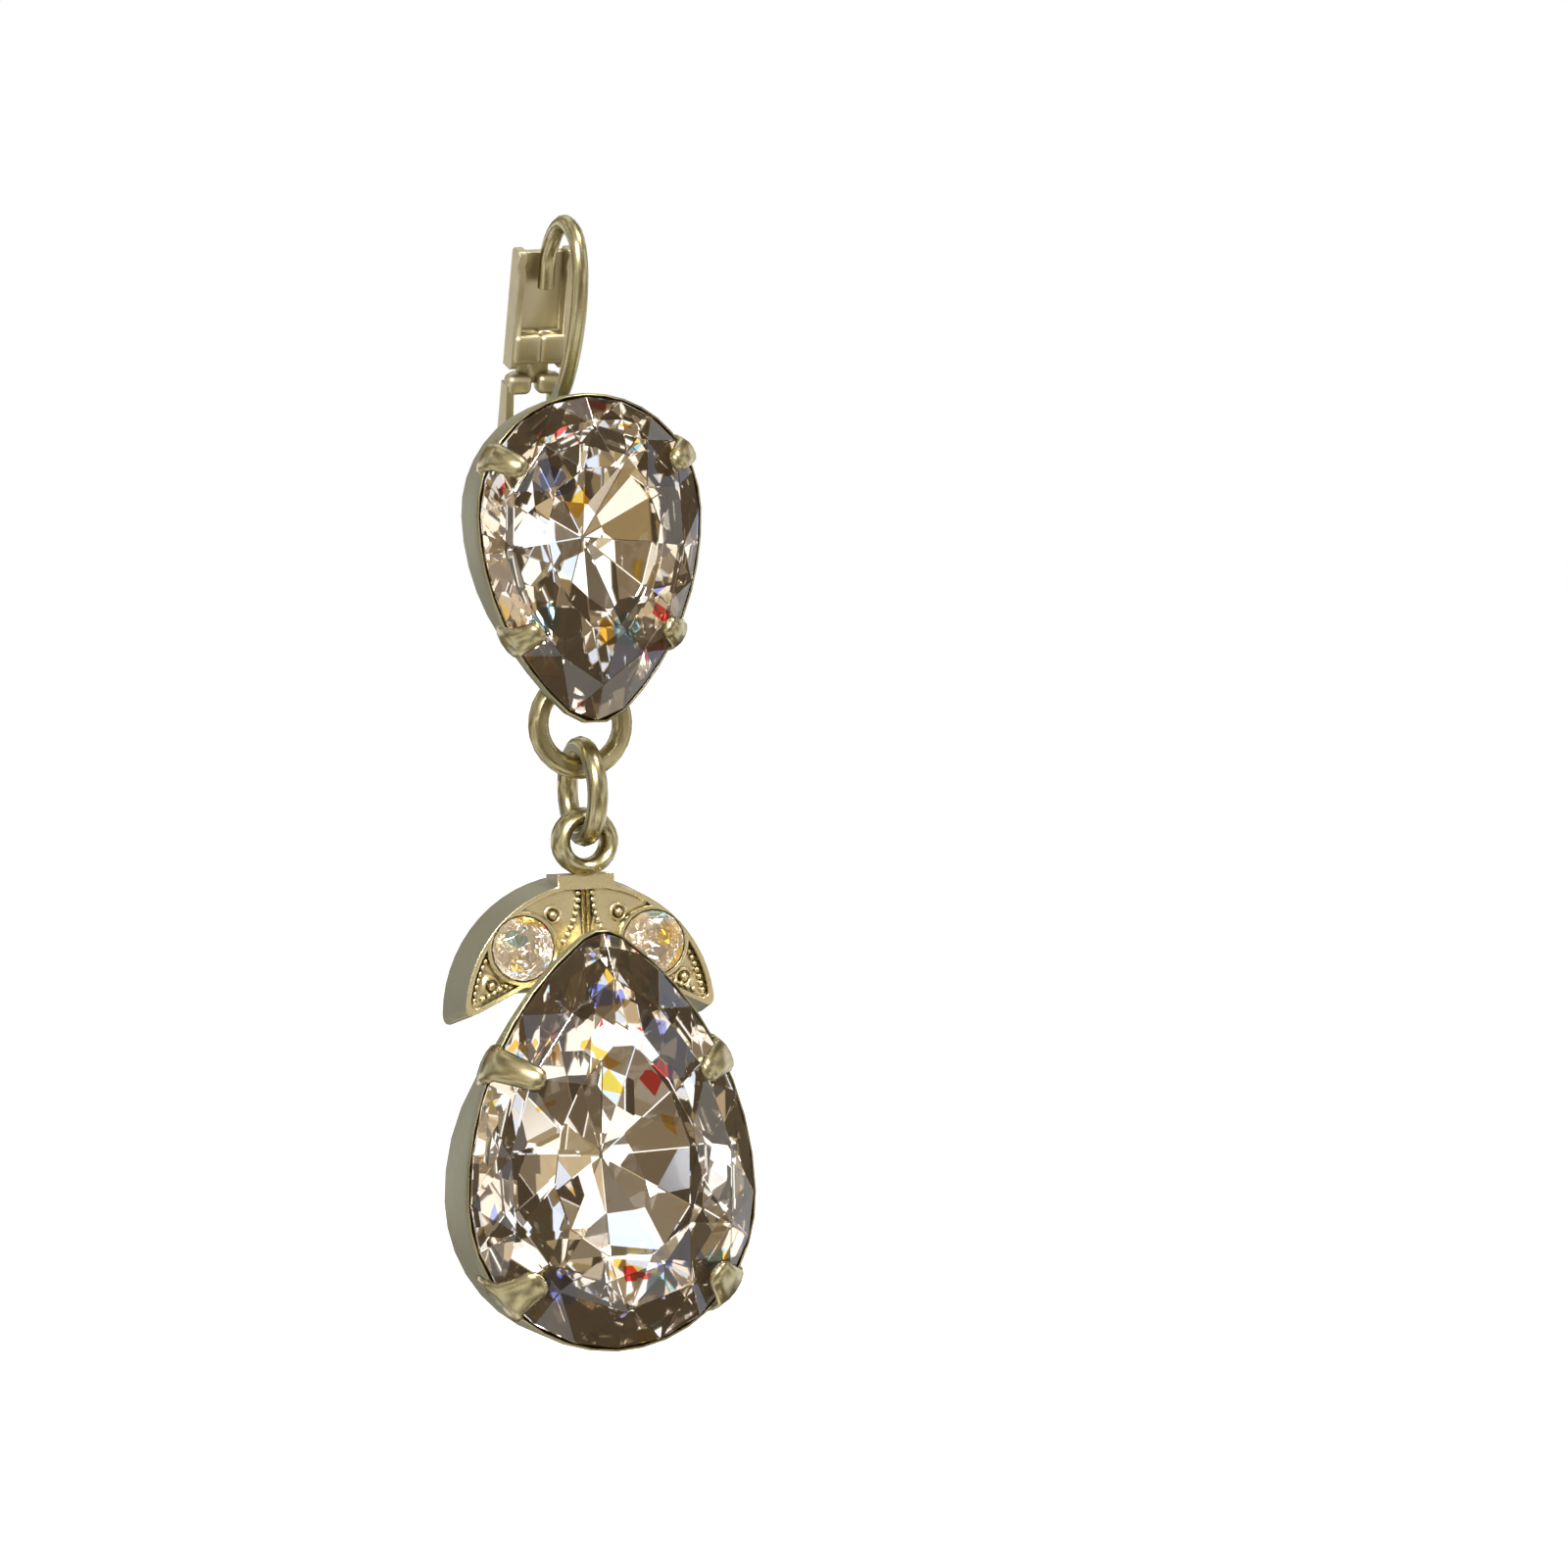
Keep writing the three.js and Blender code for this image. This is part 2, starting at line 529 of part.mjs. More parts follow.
// Upper cup with its prongs, the ring below it, and the ear wire on its base
function earHookSetting() {
  const place = (geometry) =>
    geometry.rotateY(Math.PI).translate(upperGirdle.x, upperGirdle.y, upperGirdle.z);
  const front = upperGirdle.y + UPPER_CUP.depth - CUP_WALL / 2;
  const back = pinY + BASE.behindPin;
  const base = new THREE.BoxGeometry(BASE.width, back - front, BASE.top - BASE.bottom);
  base.translate(0, (back + front) / 2, (BASE.top + BASE.bottom) / 2);
  const bore = new THREE.CylinderGeometry(
    PIN / 2 + PIN_CLEARANCE,
    PIN / 2 + PIN_CLEARANCE,
    BASE.width * 2,
    16,
  );
  bore.rotateZ(Math.PI / 2).translate(0, pinY, PIN_Z);
  const hollow = solid(place(cupHollow(UPPER, UPPER_CUP)));
  const prongs = allProngs(UPPER, UPPER_CUP, UPPER_PRONGS).map(place);
  return joined([place(cupBody(UPPER, UPPER_CUP)), wireRing(UPPER_RING).translate(0, planeY, ringZ)])
    .add(joined([base, earWire()]))
    .add(joined(prongs))
    .subtract(hollow)
    .subtract(solid(bore));
}

// A height of the hanging earring as a height on the lever before it leans
const onLever = (z) => PIN_Z + (z - PIN_Z) / Math.cos(LEVER_LEAN);

// A rounded pad on the lever's floor at each outer edge
function padPair(width, top, bottom, { front, rounding }) {
  const height = onLever(top) - onLever(bottom);
  const depth = front + LEVER.sheet;
  return [-1, 1].map((side) => {
    const pad = new RoundedBoxGeometry(width, depth, height, 3, rounding);
    const x = side * ((LEVER.width - width) / 2 - PAD_INSET);
    return pad.translate(x, leverBack - depth / 2, onLever(top) - height / 2);
  });
}

// A sheet drawn in depth and height, standing across X
function leverWing(side) {
  const wall = new THREE.ExtrudeGeometry(side, { depth: LEVER.sheet, bevelEnabled: false, curveSegments: 10 });
  return wall.rotateX(Math.PI / 2).rotateZ(Math.PI / 2).translate(-LEVER.sheet / 2, 0, 0);
}

// One side of the channel, with the ear at its top and the notch below it
function channelWing() {
  const back = leverBack;
  const front = leverFront;
  const round = LEVER.wing * 0.2;
  const side = new THREE.Shape();
  side.moveTo(back, onLever(LEVER.bottom) + round);
  side.lineTo(back - round, onLever(LEVER.bottom));
  side.lineTo(front + round, onLever(LEVER.bottom));
  side.lineTo(front, onLever(LEVER.bottom) + round);
  side.lineTo(front, onLever(NOTCH.bottom));
  side.lineTo(front + round, onLever(NOTCH.top));
  side.lineTo(front, onLever(LEVER.top));
  side.lineTo(front + round, onLever(LEVER.top + LEVER.ear));
  side.lineTo(back - round, onLever(LEVER.top + LEVER.ear));
  side.lineTo(back, onLever(LEVER.top));
  side.lineTo(back, onLever(NOTCH.top));
  side.lineTo(back - NOTCH.depth, onLever((NOTCH.top + NOTCH.bottom) / 2));
  side.lineTo(back, onLever(NOTCH.bottom));
  return leverWing(side);
}

// One leg of the yoke, round at the pin
function legWing() {
  const top = onLever(NECK.bottom) - SHOULDER.height / 2;
  const side = new THREE.Shape();
  side.moveTo(leverBack, top);
  side.lineTo(leverBack, PIN_Z);
  side.absarc(pinDrawnY, PIN_Z, legRound, 0, -Math.PI, true);
  side.lineTo(leverFront + LEVER.sheet, top);
  return leverWing(side);
}

// The lever: a channel open to the front with a two-lobed band across it, a neck, and a yoke
// whose legs straddle the base under an arched opening
function latchLever() {
  const half = LEVER.width / 2;
  const legEnd = PIN_Z;
  const inner = YOKE_OPENING.width / 2;
  const archZ = onLever(YOKE_OPENING.top) - inner;
  const neck = NECK.width / 2;
  const outline = new THREE.Shape();
  outline.moveTo(-half, legEnd);
  outline.lineTo(-inner, legEnd);
  outline.lineTo(-inner, archZ);
  outline.absarc(0, archZ, inner, Math.PI, 0, true);
  outline.lineTo(inner, legEnd);
  outline.lineTo(half, legEnd);
  outline.lineTo(half, archZ);
  outline.quadraticCurveTo(half, onLever(NECK.bottom), neck, onLever(NECK.bottom));
  outline.lineTo(neck, onLever(LEVER.bottom));
  outline.lineTo(half, onLever(LEVER.bottom));
  outline.lineTo(half, onLever(LEVER.top));
  outline.lineTo(-half, onLever(LEVER.top));
  outline.lineTo(-half, onLever(LEVER.bottom));
  outline.lineTo(-neck, onLever(LEVER.bottom));
  outline.lineTo(-neck, onLever(NECK.bottom));
  outline.quadraticCurveTo(-half, onLever(NECK.bottom), -half, archZ);
  const floor = new THREE.ExtrudeGeometry(outline, {
    depth: LEVER.sheet,
    bevelEnabled: false,
    curveSegments: 10,
  });
  floor.rotateX(Math.PI / 2).translate(0, leverBack, 0);
  const band = padPair(half + OVERLAP, LOBES.top, LOBES.bottom, LOBES);
  const shoulders = padPair(SHOULDER.width, NECK.bottom, NECK.bottom - SHOULDER.height, SHOULDER);
  const wings = [-1, 1].flatMap((side) =>
    [channelWing(), legWing()].map((wing) => wing.translate(side * (half - LEVER.sheet / 2), 0, 0)),
  );
  const bore = new THREE.CylinderGeometry(
    PIN / 2 + PIN_CLEARANCE,
    PIN / 2 + PIN_CLEARANCE,
    LEVER.width * 2,
    16,
  );
  bore.rotateZ(Math.PI / 2).translate(0, pinDrawnY, PIN_Z);
  const lever = geometryOf(joined([floor, ...band, ...shoulders, ...wings]).subtract(solid(bore)));
  return lever.translate(0, -pinDrawnY, -PIN_Z).rotateX(LEVER_LEAN).translate(0, pinY, PIN_Z);
}

// A named piece with its own material
function piece(name, geometry, material) {
  const made = new THREE.Mesh(geometry, material);
  made.name = name;
  return made;
}

// The upper part, fixed where the ear wire hangs
const upper = new THREE.Group();
upper.add(piece("ear_hook_setting", geometryOf(earHookSetting()), gold));
const upperStone = piece("upper_stone", pearStone(UPPER), crystal.clone());
upperStone.position.copy(upperGirdle);
upperStone.rotation.y = Math.PI;
upper.add(upperStone);
const pin = piece("hinge_pin", new THREE.CylinderGeometry(PIN / 2, PIN / 2, LEVER.width + 0.1, 14), pinGold);
pin.position.set(0, pinY, PIN_Z);
pin.rotation.z = Math.PI / 2;
upper.add(pin);

// The lever, closed
const lever = new THREE.Group();
lever.add(piece("latch_lever", latchLever(), leverGold));

// The link between the two rings, in the plane that faces sideways
const link = piece("jump_link", wireRing(LINK), linkGold);
link.position.set(0, planeY, linkZ);
link.rotation.z = Math.PI / 2;

// The drop that hangs from the link
const drop = new THREE.Group();
drop.add(piece("drop_setting", geometryOf(dropSetting()), gold.clone()));
const dropStone = piece("drop_stone", pearStone(LOWER), crystal.clone());
dropStone.position.copy(lowerGirdle);
drop.add(dropStone);
[-1, 1].forEach((side) => {
  const name = side < 0 ? "side_stone_left" : "side_stone_right";
  const stone = piece(name, roundStone(SIDE_STONE), crystal.clone());
  stone.position.set(side * seatX, moonFace, seatZ);
  drop.add(stone);
});

const earring = new THREE.Group();
earring.name = "drop_earring";
earring.add(upper, lever, link, drop);

export default earring;
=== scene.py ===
# Drop earring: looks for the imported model. Plated metal, foil-backed cut stones, white studio.
import math

import bpy
from mathutils import Matrix, Vector


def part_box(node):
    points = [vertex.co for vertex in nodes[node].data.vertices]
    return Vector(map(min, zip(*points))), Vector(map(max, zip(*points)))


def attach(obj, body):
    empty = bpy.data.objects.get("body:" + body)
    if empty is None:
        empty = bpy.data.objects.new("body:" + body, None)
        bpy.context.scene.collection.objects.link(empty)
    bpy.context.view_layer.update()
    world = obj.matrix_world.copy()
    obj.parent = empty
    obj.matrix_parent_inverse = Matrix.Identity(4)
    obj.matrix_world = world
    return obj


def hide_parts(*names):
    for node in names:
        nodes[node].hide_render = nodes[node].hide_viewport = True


mm = 0.001

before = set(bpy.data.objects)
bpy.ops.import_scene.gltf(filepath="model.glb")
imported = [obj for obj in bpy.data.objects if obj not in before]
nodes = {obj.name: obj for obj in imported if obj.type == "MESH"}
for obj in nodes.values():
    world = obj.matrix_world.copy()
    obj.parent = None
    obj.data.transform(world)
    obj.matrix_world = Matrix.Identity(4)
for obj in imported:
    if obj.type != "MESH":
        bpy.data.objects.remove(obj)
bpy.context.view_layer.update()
print("frame loaded:", sorted(nodes))


# small helpers
def linear(code, alpha=1.0):
    channels = [int(code[i : i + 2], 16) / 255 for i in (1, 3, 5)]
    curve = [c / 12.92 if c <= 0.04045 else ((c + 0.055) / 1.055) ** 2.4 for c in channels]
    return (*curve, alpha)


def addNode(tree, kind, settings=None, **links):
    # a node with its settings, and its inputs as values or as the output sockets that feed them
    node = tree.nodes.new(kind)
    for name, value in (settings or {}).items():
        setattr(node, name, value)
    for name, value in links.items():
        key = name.replace("_", " ")
        socket = node.inputs[int(key[3:])] if key.startswith("at ") else node.inputs[key]
        if isinstance(value, bpy.types.NodeSocket):
            tree.links.new(value, socket)
        else:
            socket.default_value = value
    return node


def mixColours(tree, factor, first, second):
    mix = addNode(
        tree, "ShaderNodeMix", {"data_type": "RGBA"}, at_0=factor, at_6=first, at_7=second
    )
    return mix.outputs[2]


def setSteps(ramp, steps):
    # plain steps of colour, each from its place up
    ramp.color_ramp.interpolation = "CONSTANT"
    elements = ramp.color_ramp.elements
    while len(elements) < len(steps):
        elements.new(0.5)
    for element, (place, code) in zip(elements, steps):
        element.position = place
        element.color = linear(code)


def newMaterial(name):
    material = bpy.data.materials.new(name)
    material.use_nodes = True
    tree = material.node_tree
    return material, tree, tree.nodes["Principled BSDF"]


def onlySelect(obj):
    if bpy.context.mode != "OBJECT":
        bpy.ops.object.mode_set(mode="OBJECT")
    bpy.ops.object.select_all(action="DESELECT")
    obj.select_set(True)
    bpy.context.view_layer.objects.active = obj


welding = {"distance": 0.002 * mm, "flatWithinDegrees": 0.6}


def mergedCopy(nodeName, newName):
    # a CAD node's triangles as one welded mesh of its own
    source = nodes[nodeName]
    copy = source.copy()
    copy.data = source.data.copy()
    copy.name = newName
    for key in list(copy.keys()):
        del copy[key]
    bpy.context.scene.collection.objects.link(copy)
    copy.parent = None
    copy.data.materials.clear()
    onlySelect(copy)
    bpy.ops.object.mode_set(mode="EDIT")
    bpy.ops.mesh.select_all(action="SELECT")
    bpy.ops.mesh.remove_doubles(threshold=welding["distance"])
    bpy.ops.mesh.dissolve_limited(angle_limit=math.radians(welding["flatWithinDegrees"]))
    bpy.ops.object.mode_set(mode="OBJECT")
    return copy


# camera: seen from the object's left, level with its middle, framed as in the photograph
cameraPlan = {
    "azimuth": -20,
    "elevation": 2,
    "roll": -2.0,
    "distance": 0.9,
    "framePixels": 1600,
    "pixelsPerMm": 23.55,
    "objectCentrePixel": (602, 799),
    "target": (0, -1.0 * mm, -23.9 * mm),
    "sensorMm": 36,
    "clip": (0.01, 20),
}


def placeCamera(plan):
    azimuth = math.radians(plan["azimuth"])
    elevation = math.radians(plan["elevation"])
    back = Vector(
        (
            math.sin(azimuth) * math.cos(elevation),
            -math.cos(azimuth) * math.cos(elevation),
            math.sin(elevation),
        )
    )
    rotation = (-back).to_track_quat("-Z", "Y").to_matrix().to_4x4()
    rotation = rotation @ Matrix.Rotation(math.radians(plan["roll"]), 4, "Z")
    right = rotation.col[0].to_3d()
    up = rotation.col[1].to_3d()
    frameWidth = plan["framePixels"] / plan["pixelsPerMm"] * mm
    pixel = frameWidth / plan["framePixels"]
    middlePixel = plan["framePixels"] / 2
    offset = right * (middlePixel - plan["objectCentrePixel"][0]) * pixel
    offset -= up * (middlePixel - plan["objectCentrePixel"][1]) * pixel
    centre = Vector(plan["target"]) + offset
    bpy.ops.object.camera_add(location=centre + back * plan["distance"])
    camera = bpy.context.object
    camera.name = "camera"
    rotation.translation = camera.location
    camera.matrix_world = rotation
    camera.data.sensor_width = plan["sensorMm"]
    camera.data.lens = plan["sensorMm"] * plan["distance"] / frameWidth
    camera.data.clip_start, camera.data.clip_end = plan["clip"]
    bpy.context.scene.camera = camera


placeCamera(cameraPlan)


# studio: a white cyclorama, and soft boxes and dark flags that only reflections see
studio = {
    "background": "#FFFFFF",
    "backgroundLight": 1.0,
    "boxScale": 4.4,
    "boxShift": (0.9, 4.3, 3.7),
    "boxUnevenness": 0.85,
    "boxTones": (
        (0.0, "#564C3E"),
        (0.14, "#6C6150"),
        (0.35, "#857655"),
        (0.49, "#B0A184"),
        (0.55, "#FFFFFF"),
        (0.93, "#D5E4FF"),
    ),
    "boxLight": 1.5,
    "room": "#F4F1EA",
    "roomLight": 0.55,
    "middle": (0, 0, -24 * mm),
    "softboxes": (
        {"name": "keySoftbox", "place": (-0.16, -0.22, 0.16), "size": (0.12, 0.05), "power": 1.2},
        {"name": "topSoftbox", "place": (0.1, -0.1, 0.26), "size": (0.1, 0.1), "power": 0.6},
    ),
    "floorDepth": -62 * mm,
    "floorSize": 3,
    "floorRoughness": 0.9,
    "floorGlow": 0.6,
}


def paintWorld(plan):
    world = bpy.data.worlds.new("studio")
    bpy.context.scene.world = world
    world.use_nodes = True
    tree = world.node_tree
    tree.nodes.clear()
    output = addNode(tree, "ShaderNodeOutputWorld")
    sky = addNode(tree, "ShaderNodeTexCoord").outputs["Generated"]
    turn = addNode(tree, "ShaderNodeMapping", None, Vector=sky, Location=plan["boxShift"])
    # bright soft boxes in a dim room: cells of the sky that are white, tan or brown
    cells = addNode(
        tree,
        "ShaderNodeTexVoronoi",
        {"feature": "F1", "distance": "CHEBYCHEV"},
        Vector=turn.outputs[0],
        Scale=plan["boxScale"],
        Randomness=plan["boxUnevenness"],
    )
    pick = addNode(tree, "ShaderNodeSeparateColor", None, Color=cells.outputs["Color"])
    ramp = addNode(tree, "ShaderNodeValToRGB", None, Fac=pick.outputs[0])
    setSteps(ramp, plan["boxTones"])
    boxes, room, seen = [
        addNode(tree, "ShaderNodeBackground", None, Color=colour, Strength=strength)
        for colour, strength in (
            (ramp.outputs["Color"], plan["boxLight"]),
            (linear(plan["room"]), plan["roomLight"]),
            (linear(plan["background"]), plan["backgroundLight"]),
        )
    ]
    path = addNode(tree, "ShaderNodeLightPath")
    diffuse = addNode(
        tree,
        "ShaderNodeMixShader",
        None,
        at_0=path.outputs["Is Diffuse Ray"],
        at_1=boxes.outputs[0],
        at_2=room.outputs[0],
    )
    final = addNode(
        tree,
        "ShaderNodeMixShader",
        None,
        at_0=path.outputs["Is Camera Ray"],
        at_1=diffuse.outputs[0],
        at_2=seen.outputs[0],
    )
    tree.links.new(final.outputs[0], output.inputs["Surface"])


def addSoftbox(box, target):
    place = Vector(box["place"])
    bpy.ops.object.light_add(type="AREA", location=place)
    lamp = bpy.context.object
    lamp.name = box["name"]
    lamp.data.shape = "RECTANGLE"
    lamp.data.size, lamp.data.size_y = box["size"]
    lamp.data.energy = box["power"]
    lamp.rotation_euler = (target - place).to_track_quat("-Z", "Y").to_euler()


def addFloor(plan):
    bpy.ops.mesh.primitive_plane_add(size=plan["floorSize"], location=(0, 0, plan["floorDepth"]))
    floor = bpy.context.object
    floor.name = "floor"
    # matt white studio paper, which shows no edge where it meets the background
    paper, tree, shader = newMaterial("matt white studio paper")
    shader.inputs["Base Color"].default_value = linear(plan["background"])
    shader.inputs["Roughness"].default_value = plan["floorRoughness"]
    shader.inputs["Emission Color"].default_value = linear(plan["background"])
    shader.inputs["Emission Strength"].default_value = plan["floorGlow"]
    floor.data.materials.append(paper)
    # only the camera sees it: the stones would mirror it as one pale sheet
    floor.visible_glossy = False
    floor.visible_transmission = False


paintWorld(studio)
for softbox in studio["softboxes"]:
    addSoftbox(softbox, Vector(studio["middle"]))
addFloor(studio)
bpy.context.scene.view_settings.view_transform = "Standard"
print("studio and camera ready")


# wires, prongs and rims: polished pale gold plate over brass, worn just enough to blur what it
# mirrors, with painted shade darkening the crevices
brightPlateLook = {
    "light": "#C3B88E",
    "dark": "#958A64",
    "creviceShade": "#5C5433",
    "roughness": (0.26, 0.31),
    "grainMm": 0.4,
    "bump": 0.01,
    "creviceMm": 0.22,
    "edgeMm": 0.06,
}

# the cast relief: the same gold, warmer and paler, with painted shade on the ground between the
# raised forms
reliefLook = {
    "light": "#F8E9BE",
    "dark": "#E4D3A2",
    "creviceShade": "#6B5A30",
    "roughness": (0.24, 0.3),
    "grainMm": 0.5,
    "bump": 0.012,
    "creviceMm": 0.18,
    "edgeMm": 0.09,
    "behindStoneMm": 0.59,  # from the front of a side stone to the rim of the relief
    "reachMm": {"below": 2.4, "above": 1.4, "front": 0.2, "back": 0.5},  # round the side stones
}

# the lever: thin rolled sheet with a duller, paler face, so its hollow glows softly
leverLook = {
    "light": "#CFC5A4",
    "dark": "#B0A480",
    "creviceShade": "#665A38",
    "roughness": (0.4, 0.46),
    "grainMm": 0.3,
    "bump": 0.03,
    "creviceMm": 0.25,
    "edgeMm": 0.08,
}

# plain side walls: the plating left satin, and painted shade: faces that look sideways take an
# even, darker grey olive copy of the gold
shadedWallLook = {
    "light": "#A3A18B",
    "dark": "#96947E",
    "creviceShade": "#66644F",
    "roughness": (0.5, 0.58),
    "grainMm": 0.25,
    "bump": 0.08,
    "creviceMm": 0.2,
    "edgeMm": 0.09,
    "smallestFaceMm2": 0.2,
    "mostForwardNormal": 0.35,
}

# what all four finishes share
plating = {
    "cloudMm": 2.2,
    "cloudDetail": 3.0,
    "grainDetail": 5.0,
    "grainRange": (0.3, 0.7),
    "openness": (0.35, 0.85),  # from where the painted crevice shade is full to where there is none
    "creviceSamples": 8,
    "edgeSamples": 6,
    "bumpMm": 0.03,
    "smoothBelowDegrees": 38,
}


def makePlatedBrass(name, look):
    material, tree, shader = newMaterial(name)
    place = addNode(tree, "ShaderNodeTexCoord").outputs["Object"]
    cloud = addNode(
        tree,
        "ShaderNodeTexNoise",
        None,
        Vector=place,
        Scale=1 / (plating["cloudMm"] * mm),
        Detail=plating["cloudDetail"],
    )
    tone = mixColours(tree, cloud.outputs["Fac"], linear(look["light"]), linear(look["dark"]))
    # painted shade: ambient occlusion darkens the colour towards the dark shade tone in crevices
    # and hollows
    crevice = addNode(
        tree,
        "ShaderNodeAmbientOcclusion",
        {"samples": plating["creviceSamples"], "only_local": True},
        Distance=look["creviceMm"] * mm,
    )
    depth = addNode(
        tree,
        "ShaderNodeMapRange",
        None,
        Value=crevice.outputs["AO"],
        at_1=plating["openness"][0],
        at_2=plating["openness"][1],
    )
    shadedTone = mixColours(tree, depth.outputs["Result"], linear(look["creviceShade"]), tone)
    grain = addNode(
        tree,
        "ShaderNodeTexNoise",
        None,
        Vector=place,
        Scale=1 / (look["grainMm"] * mm),
        Detail=plating["grainDetail"],
    )
    gloss = addNode(
        tree,
        "ShaderNodeMapRange",
        None,
        Value=grain.outputs["Fac"],
        at_1=plating["grainRange"][0],
        at_2=plating["grainRange"][1],
        at_3=look["roughness"][0],
        at_4=look["roughness"][1],
    )
    # plating softens every edge a little, which gives it a thin line of light
    edge = addNode(
        tree, "ShaderNodeBevel", {"samples": plating["edgeSamples"]}, Radius=look["edgeMm"] * mm
    )
    bump = addNode(
        tree,
        "ShaderNodeBump",
        None,
        Height=grain.outputs["Fac"],
        Strength=look["bump"],
        Distance=plating["bumpMm"] * mm,
        Normal=edge.outputs["Normal"],
    )
    tree.links.new(shadedTone, shader.inputs["Base Color"])
    tree.links.new(gloss.outputs["Result"], shader.inputs["Roughness"])
    tree.links.new(bump.outputs["Normal"], shader.inputs["Normal"])
    shader.inputs["Metallic"].default_value = 1.0
    return material


metals = {
    "bright": makePlatedBrass("polished champagne gold plated brass", brightPlateLook),
    "shadedWall": makePlatedBrass("satin champagne gold plated brass with painted side shade", shadedWallLook),
    "relief": makePlatedBrass("cast champagne gold plated brass", reliefLook),
    "lever": makePlatedBrass("rolled champagne gold plated brass", leverLook),
}


# cut crystal: clear glass in front, and behind it silvered foil whose small facets each look
# a little another way, so the stone breaks the studio into white, tan and dark shards
crystalLook = {
    "glass": "#FFFCF6",
    "refraction": 1.58,
    "foil": "#FFFFFF",
    "foilDark": "#EADFD0",
    "foilRoughness": 0.03,
    "foilFacing": 0.12,  # least part of a face's normal that looks backwards
    "tilt": 0.15,
    "glintShare": 0.1,
    "glintMm": 0.9,
    "glints": ("#FFDD55", "#E8323A", "#9FD4F5", "#8E9CE8", "#F2C14A"),
    "bevelMm": 0.03,
    "bevelFromDegrees": 3,
}
# painted glow: the foil of each size of stone glows with this colour and strength
largeStone = {"patchMm": 2.6, "paintedGlowColour": "#4A3E2E", "paintedGlowStrength": 0.34}
smallStone = {"patchMm": 0.9, "paintedGlowColour": "#A8967F", "paintedGlowStrength": 0.36}


def makeClearGlass(look):
    material, tree, shader = newMaterial("polished lead crystal")
    shader.inputs["Base Color"].default_value = linear(look["glass"])
    shader.inputs["Roughness"].default_value = 0.0
    shader.inputs["IOR"].default_value = look["refraction"]
    shader.inputs["Transmission Weight"].default_value = 1.0
    return material


def makeFoil(look, stone):
    material, tree, shader = newMaterial("vacuum silvered foil behind crystal")
    place = addNode(tree, "ShaderNodeTexCoord").outputs["Object"]
    cells, sparks = [
        addNode(
            tree, "ShaderNodeTexVoronoi", {"feature": "F1"}, Vector=place, Scale=1 / (size * mm)
        )
        for size in (stone["patchMm"], look["glintMm"])
    ]
    # each small facet of the mirror looks a slightly different way
    centred = addNode(
        tree,
        "ShaderNodeVectorMath",
        {"operation": "SUBTRACT"},
        at_0=cells.outputs["Color"],
        at_1=(0.5, 0.5, 0.5),
    )
    lean = addNode(
        tree,
        "ShaderNodeVectorMath",
        {"operation": "SCALE"},
        at_0=centred.outputs[0],
        Scale=look["tilt"] * 2,
    )
    facing = addNode(tree, "ShaderNodeNewGeometry").outputs["Normal"]
    leaning = addNode(
        tree, "ShaderNodeVectorMath", {"operation": "ADD"}, at_0=facing, at_1=lean.outputs[0]
    )
    turned = addNode(
        tree, "ShaderNodeVectorMath", {"operation": "NORMALIZE"}, at_0=leaning.outputs[0]
    )
    tree.links.new(turned.outputs[0], shader.inputs["Normal"])
    pick = addNode(tree, "ShaderNodeSeparateColor", None, Color=cells.outputs["Color"])
    tone = mixColours(tree, pick.outputs[0], linear(look["foil"]), linear(look["foilDark"]))
    # dispersion is too fine to trace: rare small patches of the foil carry its colours
    spark = addNode(tree, "ShaderNodeSeparateColor", None, Color=sparks.outputs["Color"])
    fire = addNode(tree, "ShaderNodeValToRGB", None, Fac=spark.outputs[1])
    count = len(look["glints"])
    setSteps(fire, [(i / count, code) for i, code in enumerate(look["glints"])])
    rare = addNode(
        tree,
        "ShaderNodeMath",
        {"operation": "GREATER_THAN"},
        at_0=spark.outputs[2],
        at_1=1 - look["glintShare"],
    )
    colour = mixColours(tree, rare.outputs[0], tone, fire.outputs["Color"])
    tree.links.new(colour, shader.inputs["Base Color"])
    shader.inputs["Metallic"].default_value = 1.0
    shader.inputs["Roughness"].default_value = look["foilRoughness"]
    # painted glow: the foil glows a dim brown, so the stone's facets never go black
    shader.inputs["Emission Color"].default_value = linear(stone["paintedGlowColour"])
    shader.inputs["Emission Strength"].default_value = stone["paintedGlowStrength"]
    return material


clearGlass = makeClearGlass(crystalLook)
largeFoil = makeFoil(crystalLook, largeStone)
smallFoil = makeFoil(crystalLook, smallStone)


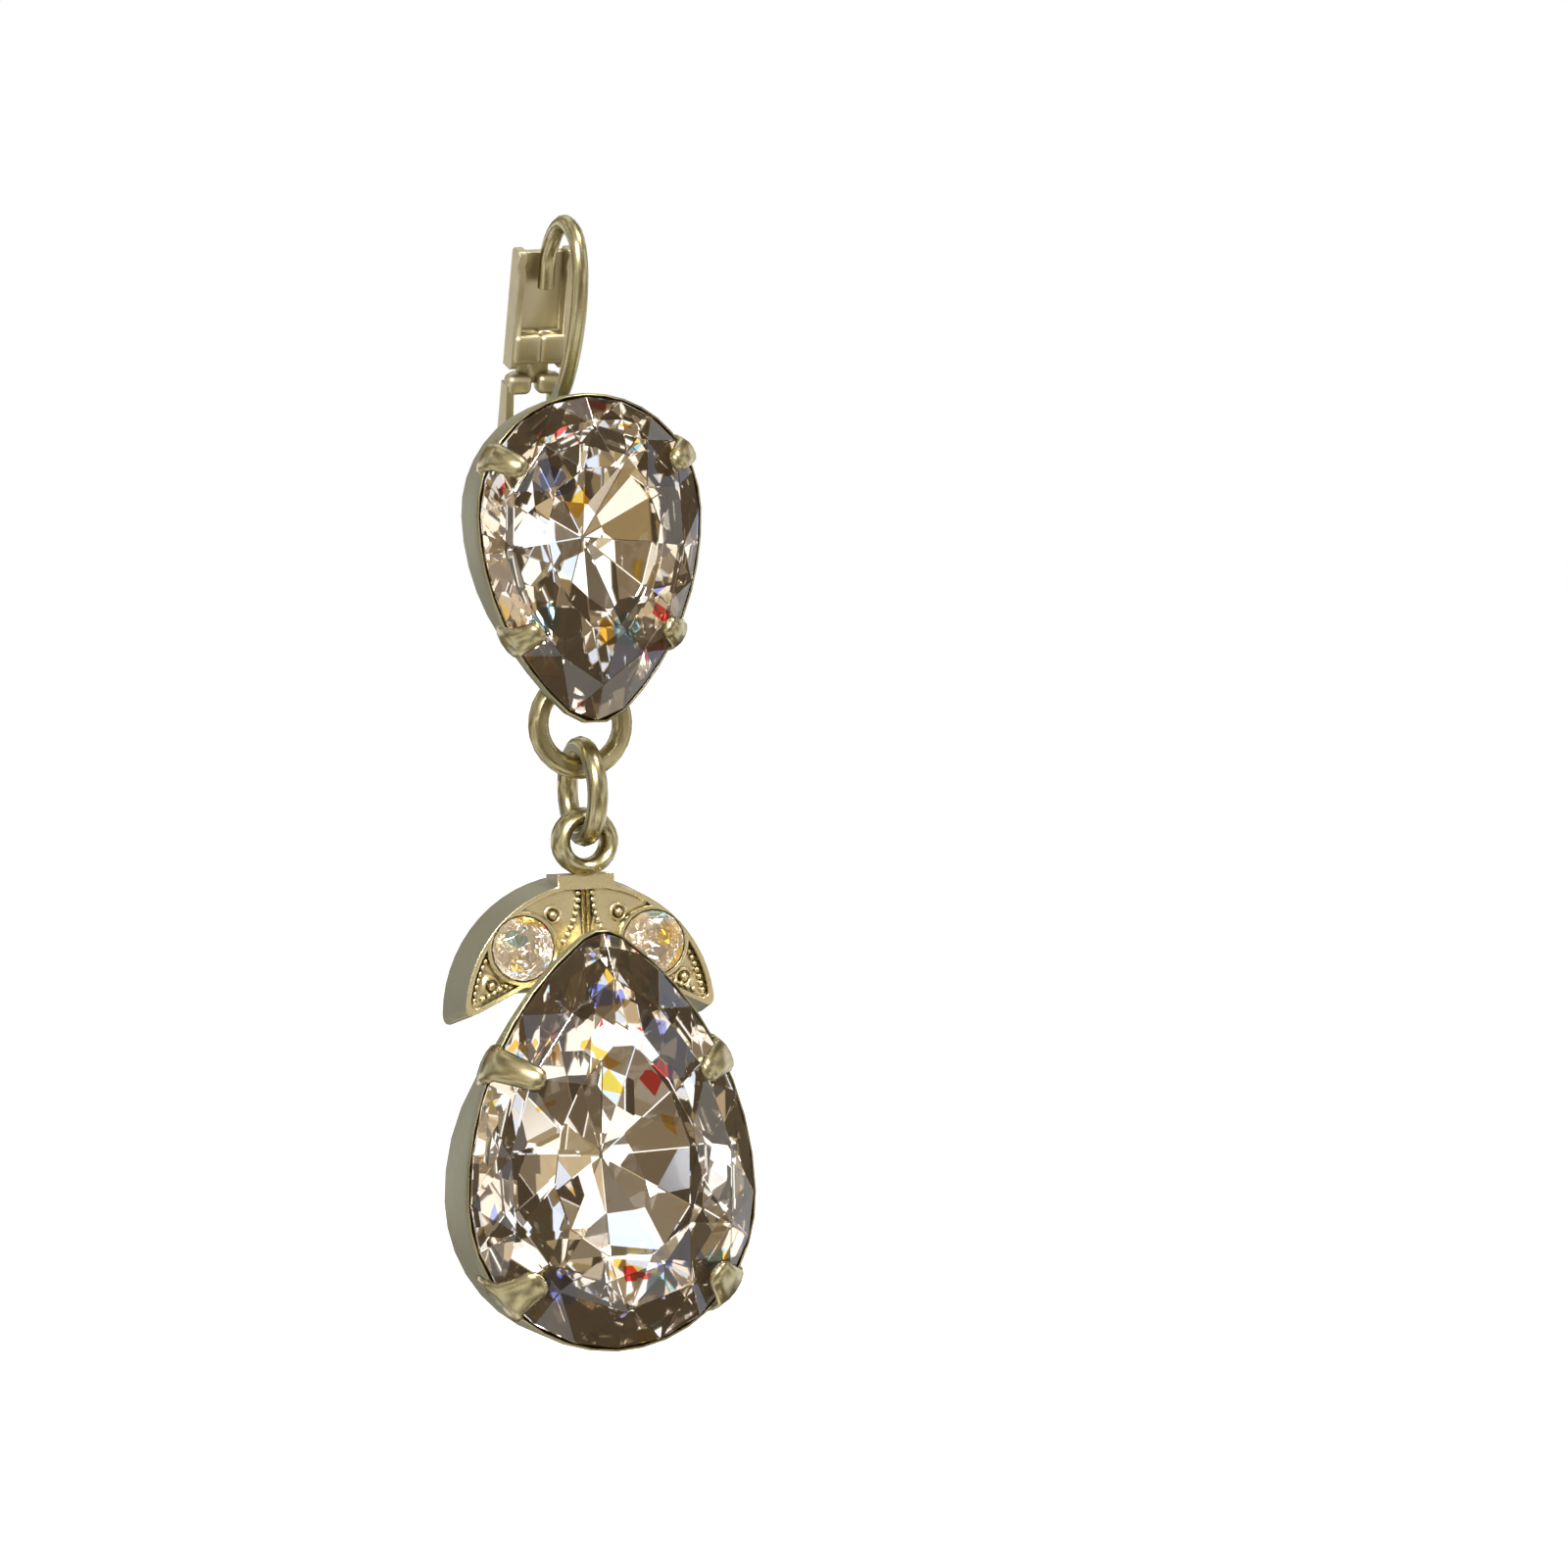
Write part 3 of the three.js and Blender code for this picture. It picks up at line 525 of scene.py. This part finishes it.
def dressStone(nodeName, body, foil):
    stone = mergedCopy(nodeName, nodeName + "_cut")
    onlySelect(stone)
    bevel = stone.modifiers.new("facet edges", "BEVEL")
    bevel.width = crystalLook["bevelMm"] * mm
    bevel.segments = 1
    bevel.limit_method = "ANGLE"
    bevel.angle_limit = math.radians(crystalLook["bevelFromDegrees"])
    bpy.ops.object.modifier_apply(modifier=bevel.name)
    stone.data.materials.append(clearGlass)
    stone.data.materials.append(foil)
    for face in stone.data.polygons:
        face.material_index = 1 if face.normal.y > crystalLook["foilFacing"] else 0
        face.use_smooth = False
    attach(stone, body)
    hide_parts(nodeName)


dressStone("upper_stone", "upper", largeFoil)
dressStone("drop_stone", "drop", largeFoil)
dressStone("side_stone_left", "drop", smallFoil)
dressStone("side_stone_right", "drop", smallFoil)
print("stones cut and foiled")


# the relief lies round the side stones, whose girdles are level with its rim
sideLow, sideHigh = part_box("side_stone_left")
reliefFront = sideLow[1] + reliefLook["behindStoneMm"] * mm


def inRelief(place):
    reach = reliefLook["reachMm"]
    deep = reliefFront - reach["front"] * mm < place.y < reliefFront + reach["back"] * mm
    high = sideLow[2] - reach["below"] * mm < place.z < sideHigh[2] + reach["above"] * mm
    return deep and high


def metalOf(nodeName, face):
    wide = face.area > shadedWallLook["smallestFaceMm2"] * mm * mm
    if nodeName == "latch_lever":
        return "lever"
    # painted shade: wide faces that look sideways take the darker grey olive copy of the gold
    if wide and abs(face.normal.y) < shadedWallLook["mostForwardNormal"]:
        return "shadedWall"
    if nodeName == "drop_setting" and inRelief(face.center):
        return "relief"
    return "bright"


# metal pieces: welded copies of the solids, each face in the finish that its place has, and
# sideways faces in the copy with painted shade
def dressMetal(nodeName, body):
    metal = mergedCopy(nodeName, nodeName + "_plated")
    for material in metals.values():
        metal.data.materials.append(material)
    finishes = list(metals)
    for face in metal.data.polygons:
        face.material_index = finishes.index(metalOf(nodeName, face))
    onlySelect(metal)
    bpy.ops.object.shade_smooth_by_angle(angle=math.radians(plating["smoothBelowDegrees"]))
    flat = metal.modifiers.new("wide faces stay flat", "WEIGHTED_NORMAL")
    flat.keep_sharp = True
    bpy.ops.object.modifier_apply(modifier=flat.name)
    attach(metal, body)
    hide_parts(nodeName)


dressMetal("ear_hook_setting", "upper")
dressMetal("hinge_pin", "upper")
dressMetal("latch_lever", "lever")
dressMetal("jump_link", "link")
dressMetal("drop_setting", "drop")
print("metal plated")
